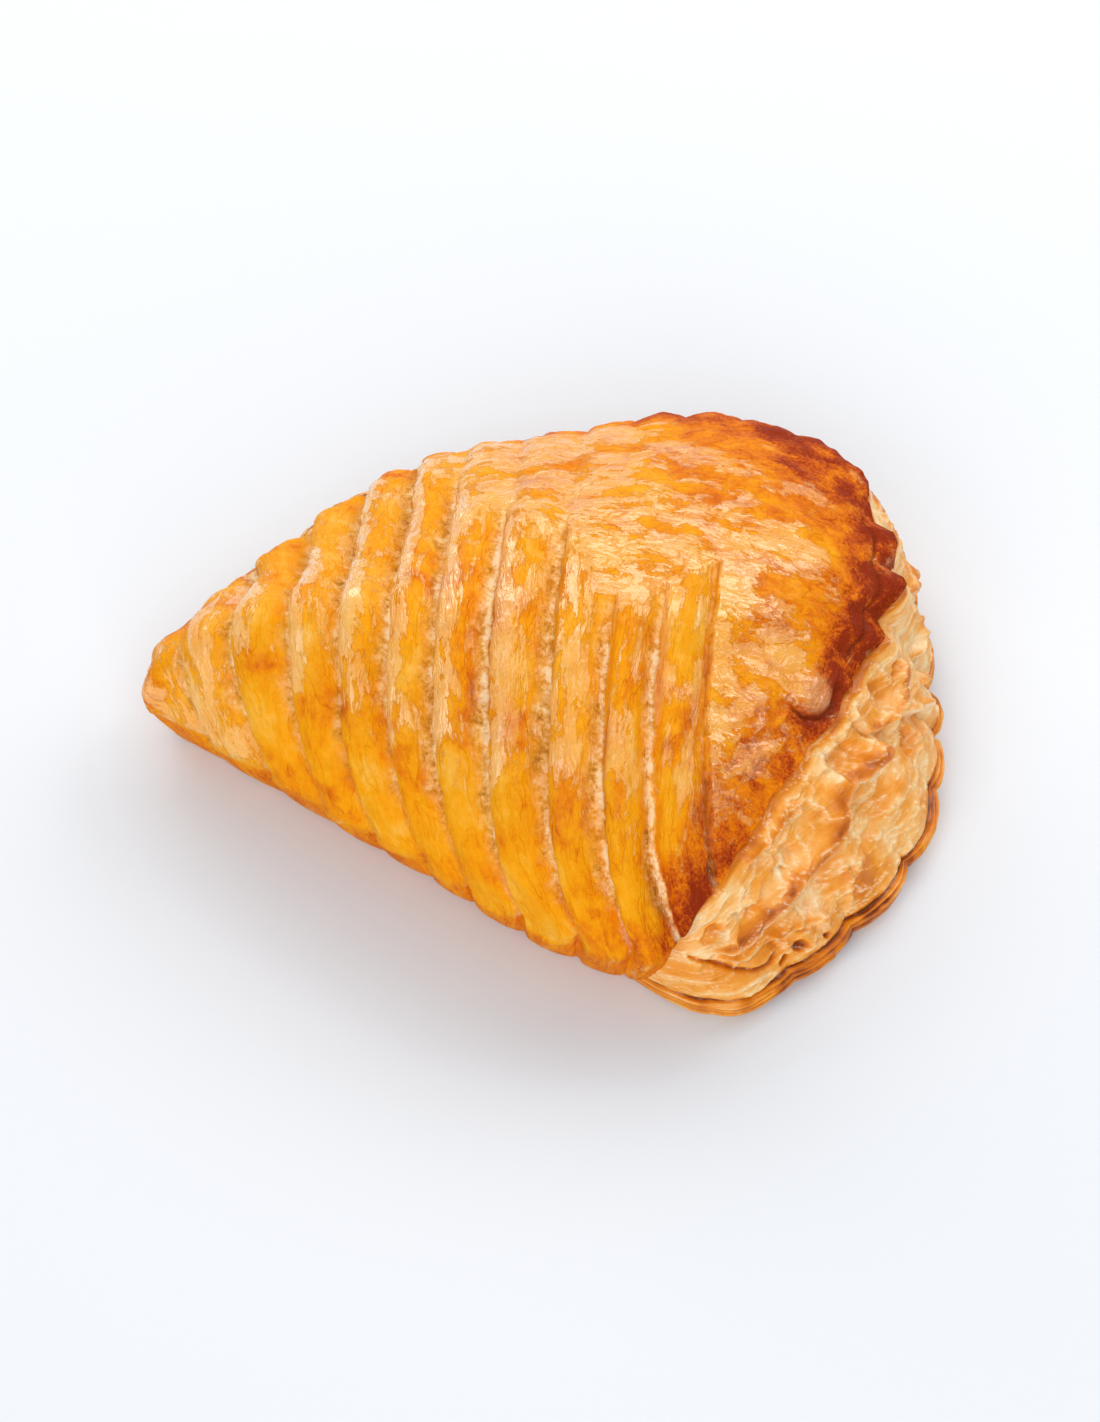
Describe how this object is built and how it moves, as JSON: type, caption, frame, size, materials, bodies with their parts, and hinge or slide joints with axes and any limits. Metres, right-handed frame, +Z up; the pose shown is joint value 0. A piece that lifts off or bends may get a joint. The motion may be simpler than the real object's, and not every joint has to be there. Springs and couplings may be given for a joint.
{
  "type": "turnover pastry",
  "caption": "Baked puff pastry turnover: a folded half moon with oblique scored ridges, a glazed crust and an opened, scalloped cut edge.",
  "frame": {"origin": "middle of the flat underside, where the pastry rests", "axes": "+Z up, +X along the straight fold from the pointed left end to the right end, +Y from the fold to the cut rim at the back"},
  "size_m": [0.1252, 0.1034, 0.0465],
  "materials": {
    "glazed_crust": "egg-washed puff pastry crust, golden to chestnut, satin with glossy patches",
    "opened_layers": "bare baked puff pastry layers, pale cream with golden edges, dry and slightly satin"
  },
  "bodies": {
    "root": {"pastry": "glazed_crust"}
  },
  "joints": []
}
